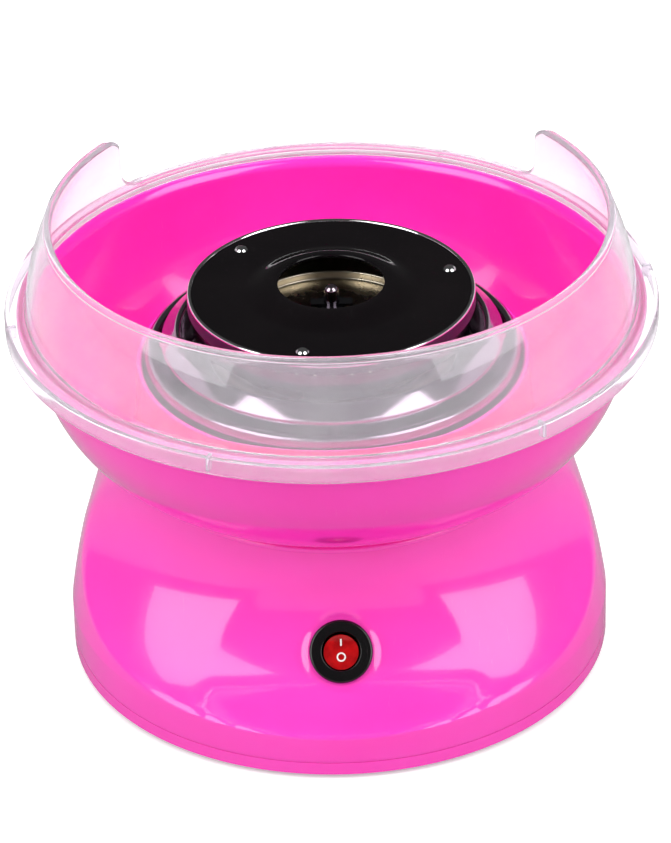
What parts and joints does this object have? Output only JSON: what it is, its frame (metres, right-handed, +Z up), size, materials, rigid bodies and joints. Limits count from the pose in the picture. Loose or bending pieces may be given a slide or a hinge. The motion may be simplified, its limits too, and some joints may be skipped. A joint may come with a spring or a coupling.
{
  "type": "cotton candy machine",
  "caption": "Table-top cotton candy machine: waisted base with a switch, lift-off bowl and clear splash guard, and a spinning sugar head over a heated pan.",
  "frame": {"origin": "on the surface it stands on, under the spindle", "axes": "+Z up along the spindle; the switch is at -Y, and the cord inlet and the guard's opening are at +Y"},
  "size_m": [0.27, 0.27, 0.202],
  "materials": {
    "pink_plastic": "high gloss",
    "clear_plastic": "clear, slightly milky",
    "black_plastic": "gloss",
    "white_plastic": "satin",
    "red_plastic": "translucent gloss",
    "rubber": "matt",
    "board": "matt",
    "wire_insulation": "satin",
    "brass": "bright",
    "aluminium": "polished",
    "chrome": "bright",
    "steel": "satin",
    "element_steel": "heat darkened",
    "ceramic": "matt",
    "bronze": "satin",
    "magnet": "matt",
    "core_steel": "satin",
    "copper": "bright",
    "dark_metal": "satin",
    "warm_metal": "spun",
    "black_enamel": "high gloss"
  },
  "bodies": {
    "base": {"base_housing": "pink_plastic", "bottom_cover": "pink_plastic", "rubber_feet": "rubber", "cover_screws": "steel", "cord_grommet": "rubber", "cord_clamp": "white_plastic", "clamp_screws": "steel", "terminal_block": "white_plastic", "rectifier_board": "board", "board_capacitor": "black_plastic", "board_diodes": "black_plastic", "board_screws": "steel", "wiring": "wire_insulation", "switch_body": "black_plastic", "switch_terminals": "brass", "heat_shield": "aluminium", "shield_screws": "steel", "heat_pan": "aluminium", "pan_spacers": "ceramic", "pan_screws": "steel", "pan_nuts": "steel", "heating_element": "element_steel", "element_insulators": "ceramic", "element_clips": "steel", "thermal_cutout": "black_plastic", "motor_plate": "steel", "motor_screws": "steel", "motor_can": "steel", "motor_end_cap": "black_plastic", "motor_bushes": "bronze", "motor_magnets": "magnet", "motor_brushes": "bronze"},
    "rocker": {"switch_rocker": "red_plastic", "rocker_marks": "white_plastic"},
    "rotor": {"motor_shaft": "steel", "armature_core": "core_steel", "armature_windings": "copper", "commutator": "copper", "drive_pin": "steel"},
    "head": {"head_hub": "dark_metal", "head_clip": "dark_metal", "head_lower_dish": "warm_metal", "head_slot_ring": "dark_metal", "head_top_plate": "black_enamel", "head_rim_ring": "chrome", "head_rivets": "chrome"},
    "bowl": {"bowl": "pink_plastic"},
    "guard": {"splash_guard": "clear_plastic"}
  },
  "joints": [
    {"name": "rocker_tilt", "type": "hinge", "parent": "base", "child": "rocker", "pos_m": [0, -0.08149, 0.04122], "axis": [-1, 0, 0], "range_deg": [0, 16]},
    {"name": "spindle_spin", "type": "hinge", "parent": "base", "child": "rotor", "pos_m": [0, 0, 0.1], "axis": [0, 0, 1], "continuous": true},
    {"name": "head_lift", "type": "slide", "parent": "rotor", "child": "head", "axis": [0, 0, 1], "range_m": [0, 0.03]},
    {"name": "bowl_lift", "type": "slide", "parent": "base", "child": "bowl", "axis": [0, 0, 1], "range_m": [0, 0.085]},
    {"name": "guard_lift", "type": "slide", "parent": "bowl", "child": "guard", "axis": [0, 0, 1], "range_m": [0, 0.05]}
  ]
}
